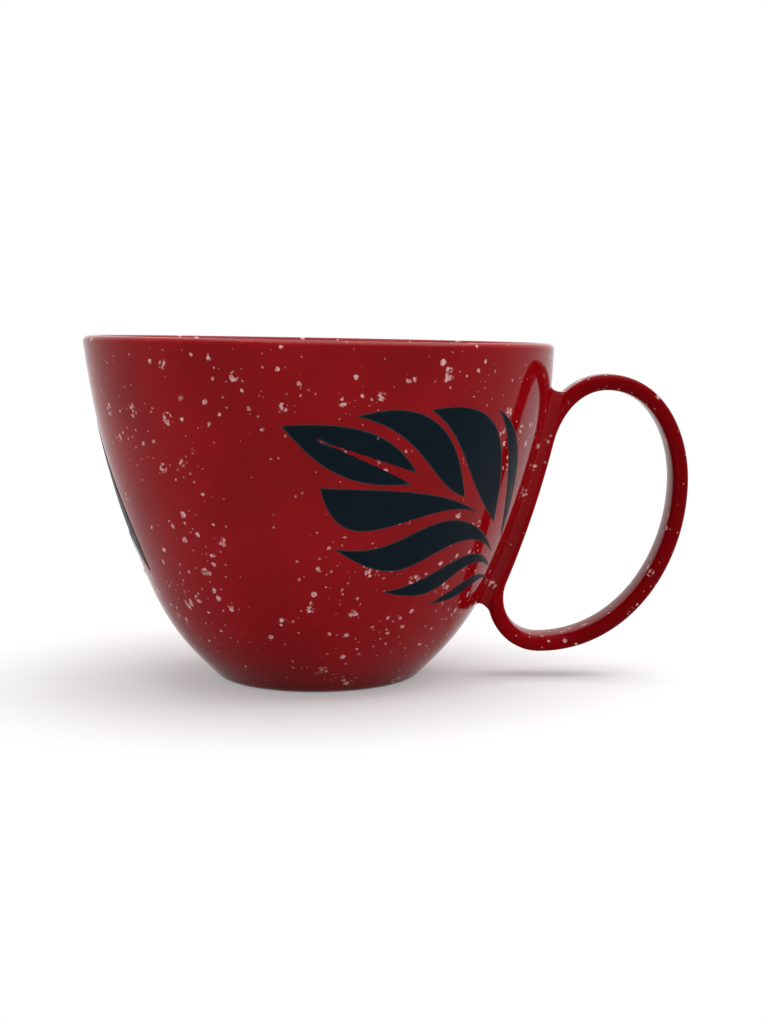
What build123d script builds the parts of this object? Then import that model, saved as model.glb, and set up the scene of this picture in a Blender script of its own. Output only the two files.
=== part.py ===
# A handmade glazed cup: a thrown bowl, a closed strap loop for a handle, the slip that lutes the
# loop to the wall, and leaves of dark slip laid on the outside.
# Frame: millimetres, origin at the middle of the foot, +Z up, the handle on +X.

import os
from math import asin, cos, degrees, radians, sin, sqrt

from build123d import *

# Bowl
bowl_height = 77.6  # the rim's highest point, opposite the handle
rim_drop = 1.9  # the rim stands this much lower over the handle
mouth_radius = 53.4  # outside, at the thrown edge
belly_radius = 38.1  # outside, where the low curve passes into the flank
belly_height = 21.3
foot_radius = 22.3
foot_flare = 45.5  # degrees above level, just over the foot
flare_height = 5.2
foot_round = 1.6
wall_thickness = 3.2
floor_thickness = 5.0  # over the hollow of the foot
rim_round = 1.0
rim_trim = 1.5  # cut off the thrown edge when the rim is levelled
seam_angle = 123.0  # degrees round from the handle to the section that the bowl is turned from

# Hollow turned into the foot, inside a bare resting ring
foot_ring_width = 4.0
foot_hollow_depth = 1.4
foot_hollow_round = 0.6

# Handle: a flat strap bent into a closed loop, its back run lying along the wall
strap_thickness = 3.5
strap_width = 11.0
strap_round = 1.2
slip_bed = 0.75  # slip between the wall and the strap's back run
back_run_low = 23.4  # height of the back run's lower end
back_run_drop = 23.1  # the back run's upper end lies this far under the rim
loop_rise = 11.9  # finger side of the loop's top, over the back run's upper end
loop_top_out = 11.9  # and how far out that top lies
loop_reach = 27.0  # finger side of the loop's far end, out from the back run's upper end
loop_reach_drop = 8.7  # and how far under that upper end it lies
loop_fall = 12.3  # finger side of the loop's lowest point, under the back run's lower end
loop_low_out = 7.6  # and how far out that point lies

# Luting slip: coves along both sides of the back run and round fills in the two crotches
cove_radius = 2.4
cove_bite = 0.3  # how far the coves cut into the wall and the strap's side
lower_crotch_radius = 2.7
upper_crotch_radius = 3.5
crotch_bite = 0.9  # how far the crotches cut into the wall and the strap
crotch_inset = 0.5  # the fills lie this far inside the strap's sides
seat_gap = 0.1  # clearance between the wall and any slip laid on it

# Leaves of dark slip
leaf_slip = 0.3  # thickness
leaf_root_angle = 12.0  # degrees round from the handle to the side leaf's root
leaf_root_rise = 30.0  # along the wall, from the foot up to that root
leaf_rim_gap = 12.6  # along the wall, from the highest lobes up to the rim
leaf_width = 67.0  # round the wall, from the root to the end lobe's tip
palm_angle = 180.0  # degrees round from the handle to the palmette's middle
palm_root_rise = 27.0
palm_rim_gap = 12.6
palm_half_width = 25.0
edge_spans = 8  # points that a lobe's edge is drawn through, less one

round_share = 0.45  # of a wall's or the strap's thickness, the most that its edges are rounded by
rise_tolerance = 1e-6
half_turn = 180.0
beyond = 2 * mouth_radius  # a length that clears the cup

# Lobes of the side leaf: base and tip, then the two handles of each edge from the base to the tip.
# Places are shares of the leaf's width, round the wall from its root, and of its height.
side_lobes = {
    "upper_lobe_1": (
        ((0.42, 0.55), (0.79, 0.97)),
        ((0.56, 0.66), (0.66, 0.88)),
        ((0.49, 0.82), (0.58, 1.12)),
    ),
    "upper_lobe_2": (
        ((0.20, 0.37), (0.57, 0.99)),
        ((0.38, 0.50), (0.46, 0.84)),
        ((0.23, 0.70), (0.30, 1.06)),
    ),
    "upper_lobe_3": (
        ((0.09, 0.21), (0.33, 0.99)),
        ((0.15, 0.45), (0.20, 0.82)),
        ((0.05, 0.50), (0.10, 0.86)),
    ),
    "lower_lobe_1": (
        ((0.32, 0.40), (0.90, 0.60)),
        ((0.50, 0.53), (0.70, 0.57)),
        ((0.58, 0.58), (0.79, 0.10)),
    ),
    "lower_lobe_2": (
        ((0.10, 0.15), (0.85, 0.27)),
        ((0.58, 0.68), (0.53, 0.14)),
        ((0.53, 0.53), (0.51, -0.17)),
    ),
    "lower_lobe_3": (
        ((0.07, 0.06), (0.66, 0.01)),
        ((0.34, 0.34), (0.42, -0.02)),
        ((0.43, 0.24), (0.25, -0.21)),
    ),
    "lower_lobe_4": (
        ((0.04, 0.00), (0.44, -0.09)),
        ((0.22, 0.10), (0.34, -0.04)),
        ((0.18, 0.04), (0.22, -0.13)),
    ),
}
# The end lobe is parted by a vein, so its edges start from two bases
end_lobe_bases = ((0.61, 0.67), (0.62, 0.61))
end_lobe_tip = (1.0, 0.93)
end_lobe_handles = (((0.68, 0.86), (0.78, 0.95)), ((0.80, 0.58), (0.90, 0.68)))
end_vein = (0.92, 0.85)

# Lobes of the palmette opposite the handle, in shares of its half width and of its height.
# The side lobes are one blade, stretched from base to tip, with handles in shares of its length.
crown_base = (0.0, 0.34)
crown_tip = (0.0, 1.0)
crown_handles = ((0.14, 0.58), (0.15, 0.84))
blade_handles = (((0.30, 0.14), (0.78, 0.10)), ((0.42, -0.16), (0.86, -0.14)))
palm_slant = 1.5  # the palmette's height over its half width, as its blades are drawn
palmette_lobes = {
    "lobe_1": ((0.07, 0.25), (0.21, 0.57)),
    "lobe_2": ((0.13, 0.14), (0.40, 0.32)),
    "lobe_3": ((0.14, 0.95), (0.81, 0.06)),
    "lobe_4": ((0.10, 0.03), (0.36, 0.10)),
}

os.makedirs("parts", exist_ok=True)


def finish(builder, name):
    builder.part.label = name
    export_step(builder.part, f"parts/{name}.step")


def outward(tangent):
    """Unit vector square to a meridian's tangent, pointing away from the bowl"""
    return Vector(tangent.Y, -tangent.X).normalized()


def shifted(edge, share, distance):
    """Point at a share of an edge's length, moved outward by a distance"""
    return edge @ share + outward(edge % share) * distance


# Meridian of the outer wall: X is the radius and Y the height
thrown_height = bowl_height + rim_trim
with BuildLine() as meridian:
    flare = PolarLine((foot_radius, 0), flare_height, foot_flare, length_mode=LengthMode.VERTICAL)
    belly = TangentArc(flare @ 1, (belly_radius, belly_height), tangent=flare % 1)
    flank = TangentArc(belly @ 1, (mouth_radius, thrown_height), tangent=belly % 1)
wall_line = meridian.wire()


def shifted_wall(distance):
    """Draw the meridian moved outward by a distance, from the foot to the rim"""
    Line(shifted(flare, 0, distance), shifted(flare, 1, distance))
    TangentArc(shifted(belly, 0, distance), shifted(belly, 1, distance), tangent=belly % 0)
    TangentArc(shifted(flank, 0, distance), shifted(flank, 1, distance), tangent=flank % 0)


def rise_at_height(height):
    """Length along the meridian from the foot up to a height"""
    low, high = 0.0, wall_line.length
    while high - low > rise_tolerance:
        middle = (low + high) / 2
        if wall_line.position_at(middle, PositionMode.LENGTH).Y < height:
            low = middle
        else:
            high = middle
    return low


def biarc(start, start_along, end, end_along):
    """Draw two arcs that pass smoothly from one point and direction to another"""
    chord = end - start
    spread = 2 * (1 - start_along.dot(end_along))
    lean = chord.dot(start_along + end_along)
    reach = (sqrt(lean * lean + spread * chord.dot(chord)) - lean) / spread
    middle = (start + end + (start_along - end_along) * reach) * 0.5
    first = TangentArc(start, middle, tangent=start_along)
    TangentArc(middle, end, tangent=first % 1)


def wall_band(near, far):
    """Face between the meridian moved outward by two distances"""
    with BuildSketch() as band:
        with BuildLine():
            shifted_wall(near)
            shifted_wall(far)
            Line(shifted(flare, 0, near), shifted(flare, 0, far))
            Line(shifted(flank, 1, near), shifted(flank, 1, far))
        make_face()
    return band.sketch


# Bowl, turned from a section clear of the handle and the leaves
turning_plane = Plane.XZ.rotated((0, 0, seam_angle))
rim_tilt = degrees(asin(rim_drop / (2 * mouth_radius)))
rim_plane = Plane((0, 0, bowl_height - rim_drop / 2)).rotated((0, rim_tilt, 0))
with BuildSketch() as cavity_section:
    with BuildLine():
        floor_middle = Vector(0, foot_hollow_depth + floor_thickness)
        inner_belly = shifted(belly, 1, -wall_thickness)
        inner_rim = shifted(flank, 1, -wall_thickness)
        over_rim = thrown_height + wall_thickness
        biarc(floor_middle, Vector(1, 0), inner_belly, belly % 1)
        TangentArc(inner_belly, inner_rim, tangent=belly % 1)
        Polyline(inner_rim, (inner_rim.X, over_rim), (0, over_rim), floor_middle)
    make_face()

with BuildSketch() as foot_hollow_section:
    hollow_radius = foot_radius - foot_ring_width
    Rectangle(hollow_radius, foot_hollow_depth, align=(Align.MIN, Align.MIN))
    hollow_corner = foot_hollow_section.vertices().group_by(Axis.Y)[-1].sort_by(Axis.X)[-1]
    fillet(hollow_corner, radius=foot_hollow_round)

with BuildPart() as bowl:
    with BuildSketch(turning_plane) as bowl_section:
        with BuildLine():
            add(meridian.line)
            Polyline(flank @ 1, (0, thrown_height), (0, 0), flare @ 0)
        make_face()
        foot_corner = bowl_section.vertices().sort_by_distance((foot_radius, 0))[0]
        fillet(foot_corner, radius=foot_round)
        add(cavity_section.sketch, mode=Mode.SUBTRACT)
        add(foot_hollow_section.sketch, mode=Mode.SUBTRACT)
    revolve(axis=Axis.Z)
    split(bisect_by=rim_plane, keep=Keep.BOTTOM)
    rim_face = bowl.faces().filter_by(GeomType.PLANE).sort_by(Axis.Z)[-1]
    fillet(rim_face.edges(), radius=min(rim_round, wall_thickness * round_share))
finish(bowl, "bowl")

# Handle loop, drawn by its finger side
strap_stand = slip_bed + strap_thickness
low_rise = rise_at_height(back_run_low)
high_rise = rise_at_height(bowl_height - back_run_drop)
low_along = wall_line.tangent_at(low_rise, PositionMode.LENGTH)
high_along = wall_line.tangent_at(high_rise, PositionMode.LENGTH)
back_low = wall_line.position_at(low_rise, PositionMode.LENGTH) + outward(low_along) * strap_stand
back_high = wall_line.position_at(high_rise, PositionMode.LENGTH) + outward(high_along) * strap_stand
loop_knots = [
    (back_high, high_along),
    (back_high + Vector(loop_top_out, loop_rise), Vector(1, 0)),
    (back_high + Vector(loop_reach, -loop_reach_drop), Vector(0, -1)),
    (back_low + Vector(loop_low_out, -loop_fall), Vector(-1, 0)),
    (back_low, low_along),
]

with BuildLine() as finger_line:
    TangentArc(back_low, back_high, tangent=low_along)
    for (knot, along), (next_knot, next_along) in zip(loop_knots, loop_knots[1:]):
        biarc(knot, along, next_knot, next_along)

with BuildPart() as handle_loop:
    with BuildSketch(Plane.XZ) as strap_face:
        make_face(finger_line.edges())
        offset(amount=strap_thickness)
        make_face(finger_line.edges(), mode=Mode.SUBTRACT)
    extrude(amount=strap_width / 2, both=True)
    strap_sides = handle_loop.faces().filter_by(Axis.Y)
    fillet(strap_sides.edges(), radius=min(strap_round, strap_thickness * round_share))
finish(handle_loop, "handle_loop")

# Luting slip, in upright sections whose X is the distance from the axis and Y the height
def crotch_centre(gap, end):
    """Point that lies a gap away from both the wall and the loop, at the loop's lower or upper end"""
    with BuildLine() as stood_wall:
        shifted_wall(gap)
    with BuildSketch() as stood_loop:
        make_face(finger_line.edges())
        offset(amount=strap_thickness + gap)
    return stood_wall.wire().intersect(stood_loop.face().outer_wire()).sort_by(Axis.Y)[end]


lower_gap = lower_crotch_radius - crotch_bite
upper_gap = upper_crotch_radius - crotch_bite
lower_crotch = crotch_centre(lower_gap, 0)
upper_crotch = crotch_centre(upper_gap, -1)
slip_bottom = lower_crotch.Y + crotch_bite
slip_top = upper_crotch.Y - crotch_bite
slip_waist = (slip_bottom + slip_top) / 2


def slip_section(far, bottom, top):
    """Face from inside the wall out to a distance from it, between two heights, cut by the crotches"""
    with BuildSketch() as section:
        add(wall_band(-wall_thickness / 2, far))
        with Locations((0, bottom)):
            Rectangle(beyond, top - bottom, align=(Align.MIN, Align.MIN), mode=Mode.INTERSECT)
        with Locations(lower_crotch):
            Circle(lower_crotch_radius, mode=Mode.SUBTRACT)
        with Locations(upper_crotch):
            Circle(upper_crotch_radius, mode=Mode.SUBTRACT)
    return section.sketch


bed_section = slip_section(slip_bed + strap_round, slip_bottom, slip_top)
with BuildSketch() as fill_section:
    add(slip_section(2 * lower_gap, slip_bottom, slip_waist))
    add(slip_section(2 * upper_gap, slip_waist, slip_top))
    with BuildSketch(mode=Mode.PRIVATE) as strap_core:
        make_face(finger_line.edges())
        offset(amount=strap_thickness - strap_round)
    add(strap_core.sketch, mode=Mode.SUBTRACT)

cove_stand = cove_radius - cove_bite
cove_aside = strap_width / 2 + cove_stand


def aside_wall_point(edge, share):
    """Wall point beside the handle, level with a point of the meridian, moved out by the coves' stand"""
    spot = edge @ share
    along = edge % share
    out = sqrt(spot.X * spot.X - cove_aside * cove_aside)
    aside_along = Vector(along.X * spot.X / out, along.Y).normalized()
    return Vector(out, spot.Y) + outward(aside_along) * cove_stand, aside_along


with BuildLine() as cove_line:
    cove_start, cove_along = aside_wall_point(belly, 0)
    cove_belly = TangentArc(cove_start, aside_wall_point(belly, 1)[0], tangent=cove_along)
    TangentArc(cove_belly @ 1, aside_wall_point(flank, 1)[0], tangent=cove_belly % 1)
cove_paths = [Plane.XZ.offset(side * cove_aside) * cove_line.wire() for side in (-1, 1)]

# Space over the handle's half of the wall, which the slip is fitted to
side_band = wall_band(seat_gap, seat_gap + 2 * upper_gap)
with BuildPart() as wall_side:
    with BuildSketch(Plane.XZ.rotated((0, 0, -half_turn / 2))):
        add(side_band)
    revolve(axis=Axis.Z, revolution_arc=half_turn)

with BuildPart() as luting_slip:
    with BuildSketch(Plane.XZ):
        add(bed_section)
    extrude(amount=cove_aside, both=True)
    for cove_path in cove_paths:
        with BuildSketch(Plane(cove_path @ 0, z_dir=cove_path % 0)):
            Circle(cove_radius)
        sweep(path=cove_path, mode=Mode.SUBTRACT)
    with BuildSketch(Plane.XZ):
        add(fill_section.sketch)
    extrude(amount=strap_width / 2 - crotch_inset, both=True)
    add(wall_side.part, mode=Mode.INTERSECT)
    add(handle_loop.part, mode=Mode.SUBTRACT)
finish(luting_slip, "luting_slip")

# Leaves: thin skins of slip on the wall, each lobe cut out of one skin that covers the whole wall
skin_band = wall_band(seat_gap, seat_gap + leaf_slip)
with BuildPart() as wall_skin:
    with BuildSketch(turning_plane):
        add(skin_band)
    revolve(axis=Axis.Z)


def curve_points(start, handles, end):
    """Points along a cubic curve with two handles"""
    first, second = handles
    points = []
    for step in range(edge_spans + 1):
        t = step / edge_spans
        weights = ((1 - t) ** 3, 3 * t * (1 - t) ** 2, 3 * t * t * (1 - t), t**3)
        corners = (start, first, second, end)
        points.append(tuple(sum(w * c[axis] for w, c in zip(weights, corners)) for axis in (0, 1)))
    return points


class Leaf:
    """A leaf's place on the wall, and the upright plane that its lobes are drawn on"""

    def __init__(self, root_angle, root_rise, rim_gap, width, middle):
        self.root_rise = root_rise
        self.width = width
        self.tall = rise_at_height(bowl_height - rim_drop) - rim_gap - root_rise
        self.girth = wall_line.position_at(root_rise + self.tall / 2, PositionMode.LENGTH).X
        self.middle_turn = middle * width / self.girth
        facing = radians(root_angle) - self.middle_turn
        round_wall = (-sin(facing), cos(facing), 0)
        self.plane = Plane((0, 0, 0), x_dir=round_wall, z_dir=(cos(facing), sin(facing), 0))

    def on_plane(self, place):
        """A place on the leaf, as seen straight on to the plane"""
        across, up = place
        spot = wall_line.position_at(self.root_rise + up * self.tall, PositionMode.LENGTH)
        return (spot.X * sin(self.middle_turn - across * self.width / self.girth), spot.Y)

    def edge(self, start, handles, end):
        Spline(*[self.on_plane(place) for place in curve_points(start, handles, end)])

    def blade(self, base, tip, side):
        """Handles of both edges of a palmette's side lobe"""
        start = Vector(base)
        along = Vector(tip) - start
        aside = Vector(-along.Y * palm_slant, along.X / palm_slant) * side
        edges = []
        for handles in blade_handles:
            spots = [start + along * far + aside * out for far, out in handles]
            edges.append([(spot.X, spot.Y) for spot in spots])
        return edges


def finish_pair(lobe, name):
    """Write a lobe of the front leaf, and its mirror image on the rear leaf"""
    with BuildPart() as rear_lobe:
        mirror(lobe.part, about=Plane.XZ)
    finish(lobe, f"front_leaf_{name}")
    finish(rear_lobe, f"rear_leaf_{name}")


side_leaf = Leaf(-leaf_root_angle, leaf_root_rise, leaf_rim_gap, leaf_width, 0.5)
for lobe_name, ((base, tip), *handles) in side_lobes.items():
    with BuildPart() as side_lobe:
        with BuildSketch(side_leaf.plane):
            with BuildLine():
                for edge_handles in handles:
                    side_leaf.edge(base, edge_handles, tip)
            make_face()
        extrude(amount=beyond)
        add(wall_skin.part, mode=Mode.INTERSECT)
    finish_pair(side_lobe, lobe_name)

with BuildPart() as end_lobe:
    with BuildSketch(side_leaf.plane):
        with BuildLine():
            for base, edge_handles in zip(end_lobe_bases, end_lobe_handles):
                side_leaf.edge(base, edge_handles, end_lobe_tip)
                Line(side_leaf.on_plane(base), side_leaf.on_plane(end_vein))
        make_face()
    extrude(amount=beyond)
    add(wall_skin.part, mode=Mode.INTERSECT)
finish_pair(end_lobe, "end_lobe")

palmette = Leaf(palm_angle, palm_root_rise, palm_rim_gap, palm_half_width, 0)
with BuildPart() as crown_lobe:
    with BuildSketch(palmette.plane):
        with BuildLine():
            palmette.edge(crown_base, crown_handles, crown_tip)
            palmette.edge(crown_base, [(-across, up) for across, up in crown_handles], crown_tip)
        make_face()
    extrude(amount=beyond)
    add(wall_skin.part, mode=Mode.INTERSECT)
finish(crown_lobe, "palmette_crown_lobe")

for side, side_name in ((-1, "front"), (1, "rear")):
    for lobe_name, (one_base, one_tip) in palmette_lobes.items():
        base = (side * one_base[0], one_base[1])
        tip = (side * one_tip[0], one_tip[1])
        with BuildPart() as palmette_lobe:
            with BuildSketch(palmette.plane):
                with BuildLine():
                    for edge_handles in palmette.blade(base, tip, side):
                        palmette.edge(base, edge_handles, tip)
                make_face()
            extrude(amount=beyond)
            add(wall_skin.part, mode=Mode.INTERSECT)
        finish(palmette_lobe, f"palmette_{side_name}_{lobe_name}")
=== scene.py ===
"""A handmade cup: a red glazed bowl on a small foot, one strap loop, and leaves of dark slip."""

from math import atan2, cos, exp, hypot, pi, radians, sin, tan

import bmesh
import bpy
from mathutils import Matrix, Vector, noise


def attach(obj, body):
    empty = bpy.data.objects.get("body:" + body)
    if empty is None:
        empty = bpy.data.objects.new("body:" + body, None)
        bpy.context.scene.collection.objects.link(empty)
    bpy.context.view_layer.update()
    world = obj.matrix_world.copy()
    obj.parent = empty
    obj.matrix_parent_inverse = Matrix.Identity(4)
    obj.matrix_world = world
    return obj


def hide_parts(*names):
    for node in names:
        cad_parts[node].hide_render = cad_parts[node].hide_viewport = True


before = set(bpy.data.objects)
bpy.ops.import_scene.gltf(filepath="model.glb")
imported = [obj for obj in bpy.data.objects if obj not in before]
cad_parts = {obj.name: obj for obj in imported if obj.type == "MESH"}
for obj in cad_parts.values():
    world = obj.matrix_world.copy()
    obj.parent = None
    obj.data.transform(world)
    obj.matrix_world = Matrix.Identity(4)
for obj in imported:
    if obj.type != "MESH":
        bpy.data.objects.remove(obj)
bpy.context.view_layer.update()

MM = 0.001
TINY = 1e-9
CLOSE = 1e-6  # span in millimetres at which the search for a height on the wall stops
WELD = 0.002  # points closer than this, in millimetres, become one

# Bowl, in millimetres, as in the solids apart from softer rounds on the lip and the hollow
BOWL_HEIGHT = 77.6
RIM_DROP = 1.9
RIM_TRIM = 1.5
MOUTH_RADIUS = 53.4
BELLY = (38.1, 21.3)
FOOT_RADIUS = 22.3
FOOT_FLARE = radians(45.5)
FLARE_HEIGHT = 5.2
FOOT_ROUND = 1.6
WALL = 3.2
FLOOR = 5.0
LIP_ROUND = 1.3
RING_WIDTH = 4.0
HOLLOW_RADIUS = FOOT_RADIUS - RING_WIDTH - FOOT_ROUND
HOLLOW_DEPTH = 1.4
HOLLOW_ROUND = 0.8

# Shares that shape the floor's dish and the rounded corners, and the height below which the ring is bare
DISH_DROP = 0.5
DISH_FLAT = 0.55
CORNER_PULL = 0.6
BARE_HEIGHT = 0.45

# Strap loop
STRAP_THICKNESS = 3.5
STRAP_WIDTH = 11.0
STRAP_ROUND = 1.5
STRAP_CROWN = 0.12
SLIP_BED = 0.75
BACK_RUN = (23.4, 54.5)
LOOP_TOP = (11.9, 11.9)
LOOP_REACH = (27.0, -8.7)
LOOP_LOW = (7.6, -12.3)

# Slip that lutes the strap to the wall; of two values the first is for the low end
COVE_WIDTH = (1.3, 1.6)
COVE_TURN = radians(8)
COVE_FULLNESS = 0.7
SIDE_END = (-3.0, 8.0)
STRAP_END = (10.0, 13.8)
WALL_END = (7.4, 12.4)
STRAP_HOLD = 0.5
WALL_HOLD = 0.30
CROTCH_INSET = 0.6
TUCK = 0.03
ROOT = 0.5

# Leaves of dark slip
LEAF_ROOT_ANGLE = radians(12)
LEAF_ROOT_RISE = 30.0
LEAF_WIDTH = 67.0
PALM_ROOT_RISE = 27.0
PALM_HALF_WIDTH = 25.0
PALM_SLANT = 1.5
LEAF_RIM_GAP = 12.6
SLIP_PROUD = 0.12
SLIP_SINK = 0.06
SLIP_ROOT = 0.3
SLIP_BEVEL = 0.45

# How the thrown clay departs from a true turned form
LEAN = 0.65
LEAN_CURVE = 1.5
WOBBLE = 0.14
WOBBLE_START = (4.2, 1.7)
WOBBLE_SPREAD = 1.1
WOBBLE_HEIGHT = 34
SWELL = 1.25
SWELL_TURN = radians(15)
SWELL_RISE = 40
SWELL_RIM_GAP = 14

# Steps of the meshes
BOWL_TURNS = 288
OUTSIDE_STEPS = 64
INSIDE_STEPS = 32
DISH_STEPS = 24
HOLLOW_STEPS = 8
HOLLOW_CORNER_STEPS = 4
EDGE_STEPS = 8
STRAP_STEPS = 56
STRAP_CORNER_STEPS = 6
STRAP_FACE_STEPS = 6
SEARCH_STEP = 0.004  # share of a span of the loop, to measure a run along it
COVE_STEPS = 14
SIDE_STEPS = 40
TURN_STEPS = 18
CROSS_STEPS = 10
LOBE_STEPS = 44
PALM_STEPS = 40
END_LOBE_STEPS = 140
END_LOBE_COLUMNS = 64

# Columns of a lobe from its edge inward: depth, and the most that it takes of the lobe's width
EDGE_COLUMNS = ((0, 0), (0.1, 0.08), (0.22, 0.16), (0.34, 0.24), (0.5, 0.32), (0.9, 0.4))

# Lobes of the side leaf: base and tip, then the two handles of each edge. Places are shares of the
# leaf's width, round the wall from its root, and of its height.
SIDE_LOBES = {
    "upper_lobe_1": (((0.41, 0.51), (0.82, 0.96)),
                     ((0.57, 0.56), (0.60, 0.88)), ((0.47, 0.74), (0.55, 1.12))),
    "upper_lobe_2": (((0.20, 0.34), (0.60, 0.99)),
                     ((0.45, 0.56), (0.44, 0.82)), ((0.25, 0.66), (0.29, 1.09))),
    "upper_lobe_3": (((0.08, 0.22), (0.35, 0.99)),
                     ((0.18, 0.46), (0.23, 0.82)), ((0.10, 0.46), (0.12, 0.84))),
    "lower_lobe_1": (((0.30, 0.39), (0.91, 0.60)),
                     ((0.50, 0.59), (0.72, 0.58)), ((0.56, 0.62), (0.84, 0.05))),
    "lower_lobe_2": (((0.10, 0.13), (0.87, 0.27)),
                     ((0.58, 0.70), (0.54, 0.16)), ((0.53, 0.53), (0.51, -0.17))),
    "lower_lobe_3": (((0.07, 0.05), (0.69, 0.01)),
                     ((0.36, 0.36), (0.44, 0.02)), ((0.44, 0.27), (0.32, -0.18))),
    "lower_lobe_4": (((0.04, -0.02), (0.46, -0.09)),
                     ((0.24, 0.13), (0.34, -0.05)), ((0.21, 0.06), (0.24, -0.13))),
}
END_LOBE_BASES = ((0.61, 0.66), (0.62, 0.60))
END_LOBE_TIP = (1.02, 0.92)
END_LOBE_HANDLES = (((0.70, 0.88), (0.80, 0.95)), ((0.80, 0.58), (0.90, 0.64)))
END_VEIN = (0.91, 0.84)

# Lobes of the palmette, in shares of its half width and of its height
CROWN = ((0.0, 0.34), (0.0, 1.0))
CROWN_HANDLES = ((0.14, 0.58), (0.15, 0.84))
BLADE_HANDLES = (((0.30, 0.14), (0.78, 0.10)), ((0.42, -0.16), (0.86, -0.14)))
PALMETTE_LOBES = {
    "lobe_1": ((0.07, 0.25), (0.21, 0.57)),
    "lobe_2": ((0.13, 0.14), (0.40, 0.32)),
    "lobe_3": ((0.14, 0.95), (0.80, 0.11)),
    "lobe_4": ((0.10, 0.03), (0.36, 0.10)),
}

# Glaze: indices of refraction, colours, and the metres out from the axis over which painted shade darkens
# the red towards the strap
WALL_INDEX = 1.18
STRAP_INDEX = 1.08
WALL_REDS = ((0.29, 0.0012, 0.0040), (0.36, 0.0022, 0.0062))
# Darker red of the strap: painted shade, not a different glaze
STRAP_SHADED_RED = (0.215, 0.0010, 0.0030)
STRAP_SHADE_REACH = (0.050, 0.063)
PALE_TONES = ((0.66, 0.25, 0.24), (0.95, 0.64, 0.61))
GLAZE_ROUGHNESS = (0.05, 0.09)
FLECK_ROUGHNESS = 0.10
FLECK_COVER = 0.92
DUST_COVER = 0.6
RIPPLE_RELIEF = 0.5
FLECK_RELIEF = 0.2

# Kinds of flecks: size of the lattice's cells, share of cells that hold one, least and largest radius
DUST = (1.5, 0.75, (0.14, 0.36))
SPOTS = (3.0, 0.75, (0.32, 0.80))
BLOOMS = (6.4, 1.4, (1.0, 1.8))
PETALS = (1.0, 0.95, (0.48, 0.68))
SPECKS = (4.5, 0.12, (0.25, 0.5))
GRIT = (0.9, 0.3, (0.1, 0.25))
FLECK_SHARPNESS = 0.7

# Size and amount of the crumpling that turns round spots ragged
FLECK_CRUMPLE = (1.1, 0.9)
BLOOM_CRUMPLE = (1.8, 1.3)
SPECK_CRUMPLE = (1.0, 0.8)

# Sizes of the glaze's soft patches
DRIFT_PATCH = 17
RED_PATCH = 22
PALE_PATCH = 0.7
GLAZE_GLOSS_PATCH = 7
RIPPLE_PATCH = 6

# Noise: the levels between which a change is eased, its settings, and how the drifts thin the flecks out
DRIFT_LEVELS = (0.40, 0.62)
DRIFT_SHARES = (0.2, 1.0)
PALE_LEVELS = (0.35, 0.65)
MID_LEVELS = (0.3, 0.7)
WIDE_LEVELS = (0.2, 0.8)
NOISE_ROUGHNESS = 0.55
NOISE_MIDDLE = 0.5
SOFT_DETAIL = 2.0
GRITTY_DETAIL = 4.0

# Slip
SLIP_INDEX = 1.12
SLIP_DARKS = ((0.0030, 0.0095, 0.0165), (0.0052, 0.0135, 0.0220))
SLIP_GREYS = ((0.045, 0.040, 0.043), (0.080, 0.066, 0.068))
SPECK_TONE = (0.16, 0.12, 0.13)
DARK_PATCH = 6
GREY_PATCH = 2
EDGE_PATCH = 1.2
EDGE_WANDER = 0.25
EDGE_BAND = (0.1, 0.6)
SLIP_GLOSS_PATCH = 4
SLIP_ROUGHNESS = (0.30, 0.40)
SLIP_GRAIN = (1.6, 3.0)

# Bare clay
CLAY_TONES = ((0.30, 0.17, 0.10), (0.52, 0.36, 0.24))
GRIT_TONE = (0.12, 0.07, 0.05)
CLAY_PATCH = 3
CLAY_GLOSS_PATCH = 0.6
CLAY_ROUGHNESS = (0.75, 0.95)
CLAY_GRAIN = 0.5

# Strength and depth of the bump
FINE_BUMP = (0.2, 0.1)
CLAY_BUMP = (0.6, 0.15)

# Sockets of the Mix node that hold colours, which share their names with those for plain numbers
MIX_COLOURS = (6, 7)
MIX_RESULT = 2

# Stage and camera, in metres
WHITE = (1, 1, 1, 1)
FLOOR_TONE = (0.72, 0.72, 0.73, 1)
FLOOR_SIZE = 1.2
FLOOR_LEVEL = -0.00005  # just under the foot, so that the two faces don't lie in one plane
FLOOR_LIFT = 0.31
FLOOR_FADE = (0.05, 0.14)
SOFT_LIGHT = 0.42
LAMP_PLACE = (0.16, 0.05, 0.9)
LAMP_TARGET = (0.02, 0.0, 0.0)
LAMP_SIZE = (1.0, 1.0)
LAMP_POWER = 8.7
CAMERA_PLACE = (0.01511, -0.400, 0.07922)
CAMERA_TILT = 0.104
SENSOR_HEIGHT = 36.0
FOCAL_LENGTH = 61.82


# Curves

def bezier(start, start_handle, end_handle, end, share):
    rest = 1 - share
    return (start * rest**3 + start_handle * (3 * rest**2 * share)
            + end_handle * (3 * rest * share**2) + end * share**3)


def smooth_step(value):
    value = min(max(value, 0), 1)
    return value * value * (3 - 2 * value)


def corner(start, bend, end, steps):
    """Points of a rounded corner, with both ends."""
    start, bend, end = Vector(start), Vector(bend), Vector(end)
    near, far = start.lerp(bend, CORNER_PULL), end.lerp(bend, CORNER_PULL)
    return [tuple(bezier(start, near, far, end, step / steps)) for step in range(steps + 1)]


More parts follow.
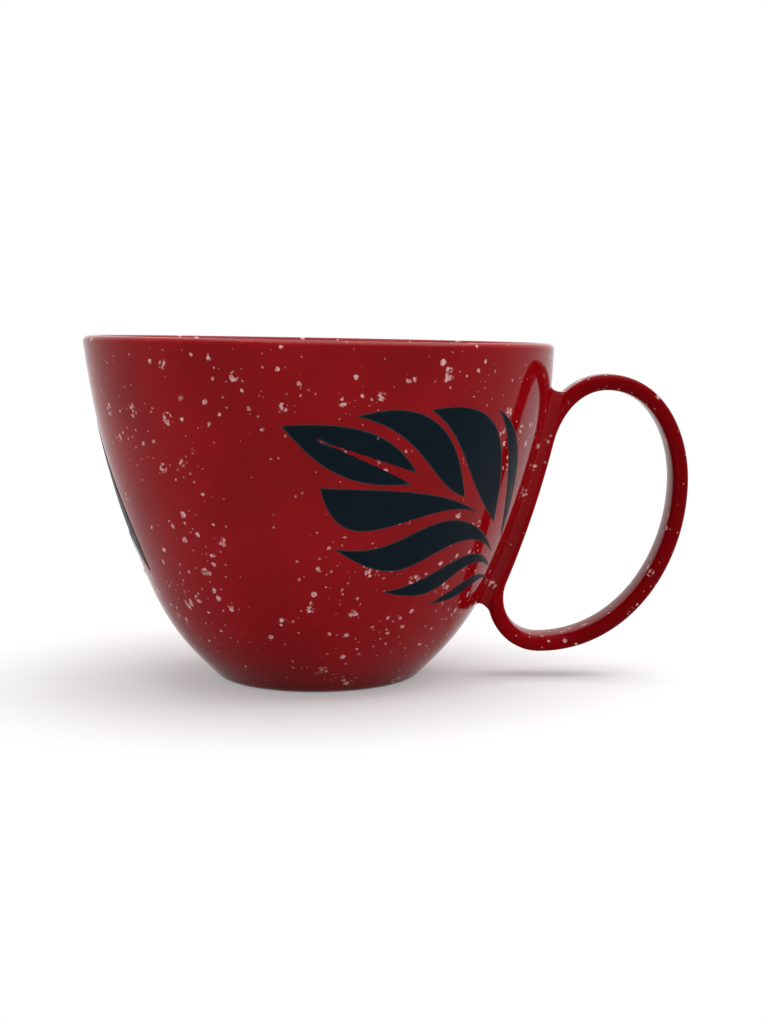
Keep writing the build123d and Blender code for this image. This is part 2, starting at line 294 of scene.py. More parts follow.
class Bend:
    """A stretch of a section that leaves a point at a heading and turns evenly up to an end point."""

    def __init__(self, start, heading, end):
        chord = (end[0] - start[0], end[1] - start[1])
        turn = 2 * (atan2(chord[1], chord[0]) - heading)
        self.start = start
        self.heading = heading
        self.curl = 2 * sin(turn / 2) / hypot(*chord)
        self.length = turn / self.curl if abs(self.curl) > TINY else hypot(*chord)
        self.end = end
        self.end_heading = heading + turn

    def at(self, run):
        """Radius, height and heading after a run along the bend."""
        heading = self.heading + self.curl * run
        if abs(self.curl) < TINY:
            return self.start[0] + run * cos(heading), self.start[1] + run * sin(heading), heading
        radius = self.start[0] + (sin(heading) - sin(self.heading)) / self.curl
        height = self.start[1] - (cos(heading) - cos(self.heading)) / self.curl
        return radius, height, heading


flare = Bend((FOOT_RADIUS, 0), FOOT_FLARE,
             (FOOT_RADIUS + FLARE_HEIGHT / tan(FOOT_FLARE), FLARE_HEIGHT))
belly = Bend(flare.end, flare.end_heading, BELLY)
flank = Bend(belly.end, belly.end_heading, (MOUTH_RADIUS, BOWL_HEIGHT + RIM_TRIM))


def wall_at(rise):
    """Radius, height and heading of the outer wall after a rise along it from the foot."""
    for bend in (flare, belly):
        if rise < bend.length:
            return bend.at(rise)
        rise -= bend.length
    return flank.at(rise)


def rise_at_height(height):
    """Rise along the outer wall at which it reaches a height."""
    low, high = 0.0, flare.length + belly.length + flank.length
    while high - low > CLOSE:
        middle = (low + high) / 2
        if wall_at(middle)[1] < height:
            low = middle
        else:
            high = middle
    return low


def on_wall(rise, angle, proud=0.0):
    """Point on the outer wall, or proud of it, at an angle round from the handle."""
    radius, height, heading = wall_at(rise)
    radius += sin(heading) * proud
    return Vector((radius * cos(angle), radius * sin(angle), height - cos(heading) * proud))


def settled(point, swells):
    """Where a point of the true form lies on the cup as thrown.

    The cup leans and isn't quite round, and its wall swells round the strap that was pressed on to it.
    """
    share = max(point.z, 0) / BOWL_HEIGHT
    away = Vector((point.x, point.y, 0))
    reach = away.length
    shift = Vector((LEAN * share**LEAN_CURVE, 0, 0))
    if reach < TINY:
        return point + shift
    near = min(reach / FOOT_RADIUS, 1)
    place = away / reach * WOBBLE_SPREAD + Vector((*WOBBLE_START, point.z / WOBBLE_HEIGHT))
    out = WOBBLE * share * noise.noise(place) * near
    if swells:
        turn = atan2(point.y, point.x) / SWELL_TURN
        above_foot = smooth_step(point.z / SWELL_RISE)
        below_rim = smooth_step((BOWL_HEIGHT - point.z) / SWELL_RIM_GAP)
        out += SWELL * near * above_foot * below_rim * exp(-turn**2)
    return point + shift + away / reach * out


# Meshes

def grid_faces(rows, columns, wrap_rows=False, wrap_columns=False):
    """Faces of a grid of points given row by row; a wrapped way joins its last points to its first."""
    faces = []
    for row in range(rows if wrap_rows else rows - 1):
        for column in range(columns if wrap_columns else columns - 1):
            here, there = row * columns, (row + 1) % rows * columns
            beside = (column + 1) % columns
            faces.append((here + column, here + beside, there + beside, there + column))
    return faces


def make_piece(name, points, faces, nodes, materials, weights=None, swells=True):
    """One piece of the cup, welded, with its faces outward, standing for CAD nodes."""
    mesh = bpy.data.meshes.new(name)
    mesh.from_pydata([settled(point, swells) * MM for point in points], [], faces)
    if weights:
        layer = mesh.attributes.new("inset", "FLOAT", "POINT")
        layer.data.foreach_set("value", weights)
    for material in materials:
        mesh.materials.append(material)
    shape = bmesh.new()
    shape.from_mesh(mesh)
    bmesh.ops.remove_doubles(shape, verts=shape.verts, dist=WELD * MM)
    bmesh.ops.recalc_face_normals(shape, faces=shape.faces)
    shape.to_mesh(mesh)
    shape.free()
    mesh.shade_smooth()
    piece = bpy.data.objects.new(name, mesh)
    bpy.context.scene.collection.objects.link(piece)
    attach(piece, "root")
    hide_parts(*nodes)
    return piece


# Bowl

def inner_wall(rise):
    """Radius and height of the inner wall, square in from a rise along the outer one."""
    radius, height, heading = wall_at(rise)
    return radius - sin(heading) * WALL, height + cos(heading) * WALL


def foot_section():
    """Section from the middle of the hollow, over the resting ring and up to the wall."""
    radius, depth = HOLLOW_RADIUS, HOLLOW_DEPTH
    section = [(radius * step / HOLLOW_STEPS, depth) for step in range(HOLLOW_STEPS)]
    section += corner((radius - HOLLOW_ROUND, depth), (radius, depth), (radius, depth / 2),
                      HOLLOW_CORNER_STEPS)
    section += corner((radius, depth / 2), (radius, 0), (radius + HOLLOW_ROUND, 0),
                      HOLLOW_CORNER_STEPS)[1:]
    section += corner((FOOT_RADIUS - FOOT_ROUND, 0), (FOOT_RADIUS, 0), wall_at(FOOT_ROUND)[:2],
                      EDGE_STEPS)
    return section


def lip_section(rim, start, end):
    """Rounded lip, from a point of the outer wall over the rim to a point of the inner one."""
    crest, inner = wall_at(rim)[:2], inner_wall(rim)
    middle = ((crest[0] + inner[0]) / 2, (crest[1] + inner[1]) / 2)
    return corner(start, crest, middle, EDGE_STEPS)[1:] + corner(middle, inner, end, EDGE_STEPS)[1:]


def dish_section(radius, height):
    """Section of the inside, from the low end of its wall to the middle of the floor."""
    start, end = Vector((radius, height)), Vector((0, HOLLOW_DEPTH + FLOOR))
    slope = Vector((cos(flank.heading), sin(flank.heading)))
    near = start - slope * (DISH_DROP * height)
    far = Vector((radius * DISH_FLAT, HOLLOW_DEPTH + FLOOR))
    return [tuple(bezier(start, near, far, end, step / DISH_STEPS)) for step in range(1, DISH_STEPS + 1)]


def bowl_section(angle):
    """Section of the bowl at an angle round from the handle: foot, outside, lip, inside and dish."""
    rim = rise_at_height(BOWL_HEIGHT - RIM_DROP * (1 + cos(angle)) / 2)
    lip_start = rim - LIP_ROUND
    lip_end = lip_start - LIP_ROUND
    outside_run = lip_start - FOOT_ROUND
    outside = [wall_at(FOOT_ROUND + outside_run * step / OUTSIDE_STEPS)[:2]
               for step in range(1, OUTSIDE_STEPS + 1)]
    inside_run = flare.length + belly.length - lip_end
    inside = [inner_wall(lip_end + inside_run * step / INSIDE_STEPS)
              for step in range(1, INSIDE_STEPS + 1)]
    lip = lip_section(rim, outside[-1], inner_wall(lip_end))
    return foot_section() + outside + lip + inside + dish_section(*inside[-1])


def make_bowl(glaze, clay):
    """The bowl, glazed all over apart from its resting ring."""
    points = []
    for turn in range(BOWL_TURNS):
        angle = 2 * pi * turn / BOWL_TURNS
        section = bowl_section(angle)
        points += [Vector((radius * cos(angle), radius * sin(angle), height))
                   for radius, height in section]
    faces = grid_faces(BOWL_TURNS, len(section), wrap_rows=True)
    bowl = make_piece("thrown_bowl", points, faces, ["bowl"], [glaze, clay])
    for face in bowl.data.polygons:
        middle = face.center / MM
        if middle.z < BARE_HEIGHT and HOLLOW_RADIUS < hypot(middle.x, middle.y) < FOOT_RADIUS:
            face.material_index = 1


# Strap loop

class Loop:
    """The closed line of the strap's inner face, in the upright plane through the cup's axis."""

    def __init__(self):
        self.rises = [rise_at_height(height) for height in BACK_RUN]
        ends = [on_wall(rise, 0, SLIP_BED + STRAP_THICKNESS) for rise in self.rises]
        headings = [wall_at(rise)[2] for rise in self.rises]
        low, high = [Vector((end.x, end.z)) for end in ends]
        low_along, high_along = [Vector((cos(heading), sin(heading))) for heading in headings]
        self.knots = [
            (low, low_along),
            (high, high_along),
            (high + Vector(LOOP_TOP), Vector((1, 0))),
            (high + Vector(LOOP_REACH), Vector((0, -1))),
            (low + Vector(LOOP_LOW), Vector((-1, 0))),
        ]

    def span(self, index):
        """Four control points of the span from a knot to the next, close to an even arc."""
        start, along = self.knots[index]
        end, end_along = self.knots[(index + 1) % len(self.knots)]
        turn = along.angle(end_along)
        reach = (end - start).length * 2 * tan(turn / 4) / (3 * sin(turn / 2))
        return start, start + along * reach, end - end_along * reach, end

    def at(self, place):
        """Point on the line and the unit vector out of the loop; whole numbers are the knots."""
        index = int(place) % len(self.knots)
        share = place - int(place)
        a, b, c, d = self.span(index)
        point = bezier(a, b, c, d, share)
        along = (b - a) * (1 - share)**2 + (c - b) * (2 * share * (1 - share)) + (d - c) * share**2
        along.normalize()
        return point, Vector((-along.y, along.x))

    def face(self, place, lift, aside):
        """Point of the strap, lifted out of its inner face and aside from its middle."""
        point, out = self.at(place)
        point = point + out * lift
        return Vector((point.x, aside, point.y))


def strap_section():
    """Rounded section of the strap: lift out of its inner face, and place aside from its middle."""
    half = STRAP_THICKNESS / 2
    core = half - STRAP_ROUND
    flat = STRAP_WIDTH / 2 - STRAP_ROUND
    section = []
    for quarter, (lift_sign, aside_sign) in enumerate(((1, 1), (1, -1), (-1, -1), (-1, 1))):
        for step in range(STRAP_CORNER_STEPS + 1):
            turn = pi / 2 * (quarter + step / STRAP_CORNER_STEPS)
            section.append((lift_sign * core + STRAP_ROUND * sin(turn),
                            aside_sign * flat + STRAP_ROUND * cos(turn)))
        if aside_sign * lift_sign > 0:
            for step in range(1, STRAP_FACE_STEPS):
                aside = aside_sign * flat * (1 - 2 * step / STRAP_FACE_STEPS)
                crown = STRAP_CROWN * (1 - (aside / flat)**2)
                section.append((lift_sign * (half + crown), aside))
    return [(lift + half, aside) for lift, aside in section]


def make_strap(loop, glaze):
    section = strap_section()
    count = len(loop.knots) * STRAP_STEPS
    points = []
    for row in range(count):
        points += [loop.face(row / STRAP_STEPS, lift, aside) for lift, aside in section]
    faces = grid_faces(count, len(section), wrap_rows=True, wrap_columns=True)
    make_piece("strap_loop", points, faces, ["handle_loop"], [glaze], swells=False)


# Luting slip

def run_along(loop, place, step, run):
    """Place reached on the strap's outer face after a run from a knot."""
    before = loop.face(place, STRAP_THICKNESS, 0)
    while run > 0:
        place += step
        after = loop.face(place % len(loop.knots), STRAP_THICKNESS, 0)
        run -= (after - before).length
        before = after
    return place % len(loop.knots)


def strap_place(loop, run, back):
    """Place on the strap for a run up from the low end of its back run."""
    if run < 0:
        return run_along(loop, len(loop.knots), -SEARCH_STEP, -run)
    if run > back:
        return run_along(loop, 1, SEARCH_STEP, run - back)
    return run / back


def strap_contact(loop, place, aside_share, turn, side, upward):
    """Where the fillet meets the strap, the strap's normal there, and the way the fillet leaves it."""
    out = loop.at(place)[1]
    out_of_strap = Vector((out.x, 0, out.y))
    up_strap = Vector((out.y, 0, -out.x))
    sideways = Vector((0, side, 0))
    round_turn = COVE_TURN + (pi / 2 - COVE_TURN) * sin(turn)**2
    flat = STRAP_WIDTH / 2 - STRAP_ROUND - CROTCH_INSET * (1 - cos(turn))
    aside = (flat + STRAP_ROUND * cos(round_turn)) * side * aside_share
    lift = STRAP_THICKNESS - STRAP_ROUND * (1 - sin(round_turn))
    normal = sideways * cos(round_turn) + out_of_strap * sin(round_turn)
    leaving = (out_of_strap * cos(round_turn) - sideways * sin(round_turn)) * cos(turn)
    leaving += up_strap * (-upward * sin(turn))
    return loop.face(place, lift, aside), normal, leaving


def wall_contact(rise, cove_width, aside_share, turn, side, upward):
    """Where the fillet meets the wall, the wall's normal there, and the way the fillet leaves it."""
    radius, _, heading = wall_at(rise)
    angle = (STRAP_WIDTH / 2 + cove_width * cos(turn)) * side * aside_share / radius
    point = on_wall(rise, angle)
    normal = on_wall(rise, angle, 1) - point
    round_wall = Vector((-sin(angle), cos(angle), 0))
    up_wall = Vector((cos(heading) * cos(angle), cos(heading) * sin(angle), sin(heading)))
    leaving = round_wall * (-side * cos(turn)) + up_wall * (-upward * sin(turn))
    return point, normal, leaving


def fillet_section(strap, wall, turn):
    """Closed section of the fillet: in a hollow from the strap to the wall, and back inside the clay."""
    on_strap, strap_normal, off_strap = strap
    on_bowl, wall_normal, off_wall = wall
    span = on_bowl - on_strap
    crotch = sin(turn)**2
    strap_reach = abs(span.dot(off_strap)) * COVE_FULLNESS * (1 - crotch)
    strap_reach += span.length * STRAP_HOLD * crotch
    wall_reach = abs(span.dot(off_wall)) * COVE_FULLNESS * (1 - crotch)
    wall_reach += span.length * WALL_HOLD * crotch
    start = on_strap - strap_normal * TUCK
    end = on_bowl - wall_normal * TUCK
    arc, back = [], []
    for step in range(COVE_STEPS + 1):
        share = step / COVE_STEPS
        point = bezier(start, start + off_strap * strap_reach, end + off_wall * wall_reach, end, share)
        arc.append(point)
        back.append(point - strap_normal.lerp(wall_normal, share).normalized() * ROOT)
    return arc + back[::-1]


def fillet_path(back):
    """Stations up one side of the strap, across the upper crotch, down and across the lower one.

    Each gives the runs up the strap and up the wall, the share of the strap's half width, the turn from
    the side into the crotch, the side, and the way that the path goes.
    """
    ends = {-1: (-STRAP_END[0], -WALL_END[0], SIDE_END[0]),
            1: (back + STRAP_END[1], back + WALL_END[1], back + SIDE_END[1])}
    for upward in (1, -1):
        strap_end, wall_end, side_end = ends[upward]
        first = ends[-upward][2]
        for step in range(SIDE_STEPS):
            run = first + (side_end - first) * step / SIDE_STEPS
            yield run, run, 1, 0, upward, upward
        turns = []
        for step in range(TURN_STEPS):
            turn = pi / 2 * step / TURN_STEPS
            turns.append((side_end + (strap_end - side_end) * sin(turn),
                          side_end + (wall_end - side_end) * sin(turn), 1, turn))
        for station in turns:
            yield *station, upward, upward
        for step in range(CROSS_STEPS):
            yield strap_end, wall_end, 1 - 2 * step / CROSS_STEPS, pi / 2, upward, upward
        yield strap_end, wall_end, 1, pi / 2, -upward, upward
        for station in turns[:0:-1]:
            yield *station, -upward, upward


def make_luting(loop, glaze):
    """Fillet in one closed band round the strap's back run."""
    low_rise, high_rise = loop.rises
    back = high_rise - low_rise
    sections = []
    for strap_run, wall_run, *way in fillet_path(back):
        share = min(max(wall_run / back, 0), 1)
        cove_width = COVE_WIDTH[0] + (COVE_WIDTH[1] - COVE_WIDTH[0]) * share
        strap = strap_contact(loop, strap_place(loop, strap_run, back), *way)
        wall = wall_contact(low_rise + wall_run, cove_width, *way)
        sections.append(fillet_section(strap, wall, way[1]))
    faces = grid_faces(len(sections), len(sections[0]), wrap_rows=True, wrap_columns=True)
    points = [point for section in sections for point in section]
    make_piece("luting_fillet", points, faces, ["luting_slip"], [glaze])


# Leaves

class Leaf:
    """A leaf's place on the wall; sideways is 1 or -1 for the way that it fans out."""

    def __init__(self, root_angle, root_rise, width, sideways):
        self.root_angle = root_angle
        self.root_rise = root_rise
        self.tall = rise_at_height(BOWL_HEIGHT - RIM_DROP) - LEAF_RIM_GAP - root_rise
        self.turn = sideways * width / wall_at(root_rise + self.tall / 2)[0]

    def on_cup(self, place, proud=0.0):
        """Point on the wall, or proud of it, for a place in the leaf."""
        return on_wall(self.root_rise + place.y * self.tall, self.root_angle + place.x * self.turn, proud)

    def width(self, first, second):
        return (self.on_cup(first) - self.on_cup(second)).length


def edge_points(base, handles, tip, steps):
    """Places along an edge of a lobe, closest together at its base and tip."""
    base, near, far, tip = [Vector(place) for place in (base, *handles, tip)]
    shares = [(1 - cos(pi * step / steps)) / 2 for step in range(steps + 1)]
    return [bezier(base, near, far, tip, share) for share in shares]


def column_spots(width):
    """Distances across a lobe from one edge, close together at both edges."""
    spots = [min(depth, width * share) for depth, share in EDGE_COLUMNS]
    return spots + [width / 2] + [width - spot for spot in reversed(spots)]


def slip_height(inset):
    """Height of the slip over the wall at a distance in from its edge."""
    return -SLIP_SINK + (SLIP_SINK + SLIP_PROUD) * smooth_step(inset / SLIP_BEVEL)


def lobe_rows(leaf, first_edge, second_edge):
    """Rows of places across a lobe, each with its distance in from the edge."""
    rows = []
    for first, second in zip(first_edge, second_edge):
        width = leaf.width(first, second)
        row = []
        for spot in column_spots(width):
            share = spot / width if width > TINY else 0.0
            row.append((first.lerp(second, share), min(spot, width - spot)))
        rows.append(row)
    return rows


def vein_inset(leaf, place):
    """Distance of a place from the vein that parts the end lobe; it is negative inside the vein."""
    tip = Vector(END_VEIN)
    spot, point = leaf.on_cup(place), leaf.on_cup(tip)
    gaps, sides = [], []
    for base in map(Vector, END_LOBE_BASES):
        root = leaf.on_cup(base)
        along = point - root
        share = min(max((spot - root).dot(along) / along.length_squared, 0), 1)
        gaps.append((spot - root - along * share).length)
        side, away = tip - base, place - base
        sides.append(side.x * away.y - side.y * away.x)
    inside = sides[0] * sides[1] < 0 and place.x < END_VEIN[0]
    return -min(gaps) if inside else min(gaps)


def end_lobe_rows(leaf):
    """Rows of the end lobe, like those of the others but even, and parted by the vein."""
    edges = [edge_points(base, handles, END_LOBE_TIP, END_LOBE_STEPS)
             for base, handles in zip(END_LOBE_BASES, END_LOBE_HANDLES)]
    rows = []
    for first, second in zip(*edges):
        width = leaf.width(first, second)
        row = []
        for column in range(END_LOBE_COLUMNS + 1):
            share = column / END_LOBE_COLUMNS
            place = first.lerp(second, share)
            row.append((place, min(min(share, 1 - share) * width, vein_inset(leaf, place))))
        rows.append(row)
    return rows


def make_lobe(name, leaf, rows, slip):
    """A lobe of slip, closed by an underside in the wall and by a cap at its base."""
    points, weights = [], []
    for row in rows:
        points += [leaf.on_cup(place, slip_height(inset)) for place, inset in row]
        points += [leaf.on_cup(place, -SLIP_ROOT) for place, inset in reversed(row)]
        weights += [max(inset, 0) for place, inset in row] + [0.0] * len(row)
    columns = len(rows[0])
    faces = grid_faces(len(rows), 2 * columns, wrap_columns=True)
    for column in range(columns - 1):
        under = 2 * columns - 1 - column
        faces.append((column, column + 1, under - 1, under))
    make_piece(f"slip_{name}", points, faces, [name], [slip], weights)


def blade_edges(base, tip, side):
    """Both edges of a lobe of the palmette, bent away from its middle."""
    base, tip = Vector(base), Vector(tip)
    base.x, tip.x = side * base.x, side * tip.x
    along = tip - base
    aside = Vector((-along.y * PALM_SLANT, along.x / PALM_SLANT)) * side
    edges = []
    for handles in BLADE_HANDLES:
        near, far = [base + along * share + aside * out for share, out in handles]
        edges.append(edge_points(base, (near, far), tip, PALM_STEPS))
    return edges


def make_side_leaf(name, sideways, slip):
    """One leaf beside the handle, lobe by lobe."""
    leaf = Leaf(sideways * LEAF_ROOT_ANGLE, LEAF_ROOT_RISE, LEAF_WIDTH, sideways)
    for lobe, ((base, tip), *edge_handles) in SIDE_LOBES.items():
        edges = [edge_points(base, handles, tip, LOBE_STEPS) for handles in edge_handles]
        make_lobe(f"{name}_{lobe}", leaf, lobe_rows(leaf, *edges), slip)
    make_lobe(f"{name}_end_lobe", leaf, end_lobe_rows(leaf), slip)


def make_palmette(slip):
    """The palmette opposite the handle: a crown, and lobes on both sides."""
    leaf = Leaf(pi, PALM_ROOT_RISE, PALM_HALF_WIDTH, -1)
    base, tip = CROWN
    left = edge_points(base, CROWN_HANDLES, tip, PALM_STEPS)
    right = [Vector((-place.x, place.y)) for place in left]
    make_lobe("palmette_crown_lobe", leaf, lobe_rows(leaf, left, right), slip)
    for name, side in (("front", -1), ("rear", 1)):
        for lobe, (base, tip) in PALMETTE_LOBES.items():
            rows = lobe_rows(leaf, *blade_edges(base, tip, side))
            make_lobe(f"palmette_{name}_{lobe}", leaf, rows, slip)


# Materials

def node(tree, kind, inputs=None, **settings):
    """A node with its settings, and its inputs given as values or as the outputs to link."""
    made = tree.nodes.new(f"ShaderNode{kind}")
    for name, value in settings.items():
        setattr(made, name, value)
    for name, value in (inputs or {}).items():
        if isinstance(value, bpy.types.NodeSocket):
            tree.links.new(value, made.inputs[name])
        else:
            made.inputs[name].default_value = value
    return made


def calc(tree, operation, first, second):
    return node(tree, "Math", {0: first, 1: second}, operation=operation).outputs[0]


def times(tree, first, second):
    return calc(tree, "MULTIPLY", first, second)


def shift_place(tree, operation, place, value):
    return node(tree, "VectorMath", {0: place, 1: value}, operation=operation).outputs[0]


def ramp(tree, value, low, high, low_result=0.0, high_result=1.0):
    """Value eased from one range to another."""
    made = node(tree, "MapRange", {"Value": value, "From Min": low, "From Max": high,
                                   "To Min": low_result, "To Max": high_result},
                interpolation_type="SMOOTHSTEP")
    return made.outputs["Result"]


def mottle(tree, place, size, detail=SOFT_DETAIL):
    """Soft noise with features of a size in millimetres."""
    made = node(tree, "TexNoise", {"Vector": place, "Scale": 1 / (size * MM), "Detail": detail,
                                   "Roughness": NOISE_ROUGHNESS})
    return made.outputs["Fac"]


def patches(tree, place, size, levels, results=(0.0, 1.0)):
    """Soft patches of a size in millimetres, eased between two levels of their noise."""
    return ramp(tree, mottle(tree, place, size), *levels, *results)


def mix(tree, share, first, second):
    """Colour between two colours, given as values or as outputs to link."""
    made = node(tree, "Mix", {"Factor": share}, data_type="RGBA")
    for socket, value in zip((made.inputs[index] for index in MIX_COLOURS), (first, second)):
        if isinstance(value, bpy.types.NodeSocket):
            tree.links.new(value, socket)
        else:
            socket.default_value = (*value, 1)
    return made.outputs[MIX_RESULT]


def new_material(name):
    """A material, its node tree, its shader and the output with places on the cup."""
    material = bpy.data.materials.new(name)
    material.use_nodes = True
    tree = material.node_tree
    shader = tree.nodes["Principled BSDF"]
    place = node(tree, "TexCoord").outputs["Object"]
    return material, tree, shader, place


def finish_shader(tree, shader, colour, roughness, height, bump):
    """Links a shader's colour and roughness, and a bump of some strength and depth in millimetres."""
    strength, depth = bump
    relief = node(tree, "Bump", {"Height": height, "Strength": strength, "Distance": depth * MM})
    tree.links.new(colour, shader.inputs["Base Color"])
    tree.links.new(roughness, shader.inputs["Roughness"])
    tree.links.new(relief.outputs["Normal"], shader.inputs["Normal"])


def crumpled(tree, place, size, amount):
    """Places shifted by noise, so that round spots turn ragged."""
    wander = node(tree, "TexNoise", {"Vector": place, "Scale": 1 / (size * MM), "Detail": SOFT_DETAIL})
    shift = shift_place(tree, "SUBTRACT", wander.outputs["Color"], (NOISE_MIDDLE,) * 3)
    scaled = node(tree, "VectorMath", {0: shift, "Scale": amount * MM}, operation="SCALE")
    return shift_place(tree, "ADD", place, scaled.outputs[0])


def flecks(tree, place, cell, share, radii):
    """Mask of flecks: a spot in some cells of a random lattice, with sizes in millimetres."""
    lattice = node(tree, "TexVoronoi", {"Vector": place, "Scale": 1 / (cell * MM)})
    chance = node(tree, "SeparateColor", {"Color": lattice.outputs["Color"]})
    shown = calc(tree, "LESS_THAN", chance.outputs["Red"], share)
    radius = node(tree, "MapRange", {"Value": chance.outputs["Green"], "To Min": radii[0] / cell,
                                     "To Max": radii[1] / cell})
    depth = calc(tree, "DIVIDE", lattice.outputs["Distance"], radius.outputs["Result"])
    return times(tree, ramp(tree, depth, 1.0, FLECK_SHARPNESS), shown)


def fleck_cover(tree, place):
    """How far pale flecks cover the glaze: dust, spots and blooms of small petals, in drifts."""
    drift = patches(tree, place, DRIFT_PATCH, DRIFT_LEVELS, DRIFT_SHARES)
    ragged = crumpled(tree, place, *FLECK_CRUMPLE)

    def drifting(spots, where):
        cell, share, radii = spots
        return flecks(tree, where, cell, times(tree, drift, share), radii)

    blooms = drifting(BLOOMS, crumpled(tree, place, *BLOOM_CRUMPLE))
    petals = flecks(tree, ragged, *PETALS)
    whole = calc(tree, "MAXIMUM", drifting(SPOTS, ragged), times(tree, blooms, petals))
    return calc(tree, "MAXIMUM", whole, times(tree, drifting(DUST, ragged), DUST_COVER))


def glaze_material(name, index):
    """Glossy red glaze with pinkish white flecks, and with painted shade that darkens the red out on the
    strap.
    """
    material, tree, shader, place = new_material(name)
    cover = fleck_cover(tree, place)
    wall_red = mix(tree, patches(tree, place, RED_PATCH, MID_LEVELS), *WALL_REDS)
    outward = node(tree, "SeparateXYZ", {0: place}).outputs["X"]
    # Out along X towards the strap the red darkens: this is painted shade
    red = mix(tree, ramp(tree, outward, *STRAP_SHADE_REACH), wall_red, STRAP_SHADED_RED)
    pale = mix(tree, patches(tree, place, PALE_PATCH, PALE_LEVELS), *PALE_TONES)
    colour = mix(tree, times(tree, cover, FLECK_COVER), red, pale)
    gloss = patches(tree, place, GLAZE_GLOSS_PATCH, MID_LEVELS, GLAZE_ROUGHNESS)
    roughness = calc(tree, "ADD", gloss, times(tree, cover, FLECK_ROUGHNESS))
    ripple = times(tree, mottle(tree, place, RIPPLE_PATCH), RIPPLE_RELIEF)
    relief = calc(tree, "ADD", ripple, times(tree, cover, FLECK_RELIEF))
    finish_shader(tree, shader, colour, roughness, relief, FINE_BUMP)
    shader.inputs["IOR"].default_value = index
    return material


def slip_material():
    """Dark slate slip, satin, thinner and greyer along the edges of each lobe."""
    material, tree, shader, place = new_material("dark_slip")
    inset = node(tree, "Attribute", attribute_name="inset").outputs["Fac"]
    wander = calc(tree, "SUBTRACT", mottle(tree, place, EDGE_PATCH), NOISE_MIDDLE)
    ragged = calc(tree, "ADD", inset, times(tree, wander, EDGE_WANDER))
    dark = mix(tree, mottle(tree, place, DARK_PATCH), *SLIP_DARKS)
    grey = mix(tree, mottle(tree, place, GREY_PATCH), *SLIP_GREYS)
    slip = mix(tree, ramp(tree, ragged, *EDGE_BAND), grey, dark)
    specks = flecks(tree, crumpled(tree, place, *SPECK_CRUMPLE), *SPECKS)
    colour = mix(tree, specks, slip, SPECK_TONE)
    roughness = patches(tree, place, SLIP_GLOSS_PATCH, MID_LEVELS, SLIP_ROUGHNESS)
    finish_shader(tree, shader, colour, roughness, mottle(tree, place, *SLIP_GRAIN), FINE_BUMP)
    shader.inputs["IOR"].default_value = SLIP_INDEX
    return material


def clay_material():
    """Bare fired clay of the resting ring: buff, gritty, a little burnt."""
    material, tree, shader, place = new_material("bare_clay")
    tone = mix(tree, mottle(tree, place, CLAY_PATCH, GRITTY_DETAIL), *CLAY_TONES)
    colour = mix(tree, flecks(tree, place, *GRIT), tone, GRIT_TONE)
    roughness = patches(tree, place, CLAY_GLOSS_PATCH, WIDE_LEVELS, CLAY_ROUGHNESS)
    grain = mottle(tree, place, CLAY_GRAIN, GRITTY_DETAIL)
    finish_shader(tree, shader, colour, roughness, grain, CLAY_BUMP)
    return material


# Stage

def seen_directly(tree):
    """1 for rays from the camera, and for rays that mirror or pass through to the background."""
    path = node(tree, "LightPath")
    gloss = calc(tree, "MAXIMUM", path.outputs["Is Glossy Ray"], path.outputs["Is Transmission Ray"])
    return calc(tree, "MAXIMUM", path.outputs["Is Camera Ray"], gloss)


def mix_shaders(tree, share, first, second):
    return node(tree, "MixShader", {0: share, 1: first.outputs[0], 2: second.outputs[0]})


def floor_material():
    """Pale near the cup, where it keeps the shadow, white further away, and clear from below."""
    material = bpy.data.materials.new("pale_floor")
    material.use_nodes = True
    tree = material.node_tree
    tree.nodes.remove(tree.nodes["Principled BSDF"])
    seen = seen_directly(tree)
    matt = node(tree, "BsdfDiffuse", {"Color": FLOOR_TONE})
    lift = node(tree, "Emission", {"Color": WHITE, "Strength": times(tree, seen, FLOOR_LIFT)})
    pale = node(tree, "AddShader", {0: matt.outputs[0], 1: lift.outputs[0]})
    white = node(tree, "Emission", {"Color": WHITE, "Strength": 1.0})
    spot = node(tree, "NewGeometry")
    away = node(tree, "VectorMath", {0: spot.outputs["Position"]}, operation="LENGTH").outputs["Value"]
    above = mix_shaders(tree, times(tree, ramp(tree, away, *FLOOR_FADE), seen), pale, white)
    sided = mix_shaders(tree, spot.outputs["Backfacing"], above, node(tree, "BsdfTransparent"))
    tree.links.new(sided.outputs[0], tree.nodes["Material Output"].inputs["Surface"])
    return material


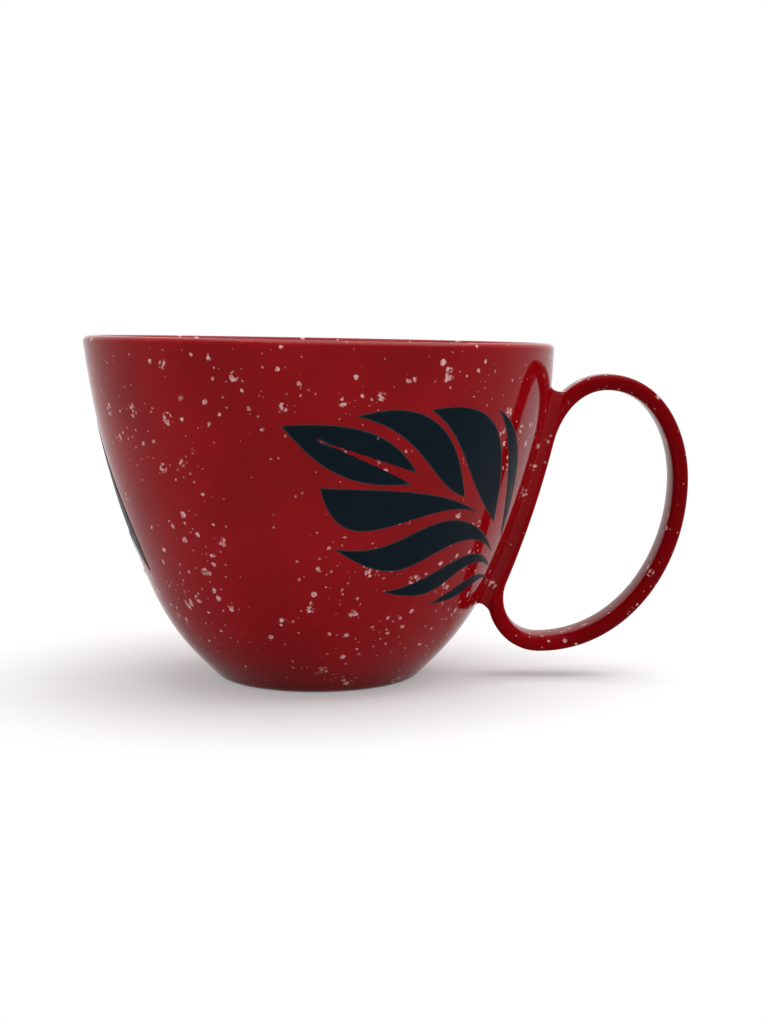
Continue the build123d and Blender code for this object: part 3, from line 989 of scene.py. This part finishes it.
def make_floor():
    mesh = bpy.data.meshes.new("floor")
    corners = [(x * FLOOR_SIZE, y * FLOOR_SIZE, FLOOR_LEVEL)
               for x, y in ((-1, -1), (1, -1), (1, 1), (-1, 1))]
    mesh.from_pydata(corners, [], [(0, 1, 2, 3)])
    mesh.materials.append(floor_material())
    floor = bpy.data.objects.new("floor", mesh)
    bpy.context.scene.collection.objects.link(floor)


def make_world():
    """White where it is seen directly or mirrored, and an even soft light on the cup."""
    world = bpy.data.worlds.new("studio")
    bpy.context.scene.world = world
    world.use_nodes = True
    tree = world.node_tree
    background = tree.nodes["Background"]
    background.inputs["Color"].default_value = WHITE
    strength = ramp(tree, seen_directly(tree), 0.0, 1.0, SOFT_LIGHT, 1.0)
    tree.links.new(strength, background.inputs["Strength"])


def make_lamp():
    """One broad soft lamp overhead."""
    light = bpy.data.lights.new("overhead", "AREA")
    light.shape = "RECTANGLE"
    light.size, light.size_y = LAMP_SIZE
    light.energy = LAMP_POWER
    lamp = bpy.data.objects.new("overhead", light)
    lamp.location = LAMP_PLACE
    lamp.rotation_mode = "QUATERNION"
    lamp.rotation_quaternion = (Vector(LAMP_TARGET) - Vector(LAMP_PLACE)).to_track_quat("-Z", "Y")
    bpy.context.scene.collection.objects.link(lamp)


def make_camera():
    """The photo's view, fitted to the rim, the foot and the loop."""
    lens = bpy.data.cameras.new("camera")
    lens.sensor_fit = "VERTICAL"
    lens.sensor_height = SENSOR_HEIGHT
    lens.lens = FOCAL_LENGTH
    camera = bpy.data.objects.new("camera", lens)
    camera.location = CAMERA_PLACE
    camera.rotation_euler = (pi / 2 - CAMERA_TILT, 0, 0)
    bpy.context.scene.collection.objects.link(camera)
    bpy.context.scene.camera = camera


glaze = glaze_material("red_glaze", WALL_INDEX)
strap_glaze = glaze_material("strap_glaze", STRAP_INDEX)
slip = slip_material()
clay = clay_material()
make_bowl(glaze, clay)
loop = Loop()
make_strap(loop, strap_glaze)
make_luting(loop, glaze)
make_side_leaf("front_leaf", -1, slip)
make_side_leaf("rear_leaf", 1, slip)
make_palmette(slip)
make_floor()
make_world()
make_lamp()
make_camera()
bpy.context.scene.view_settings.view_transform = "Standard"
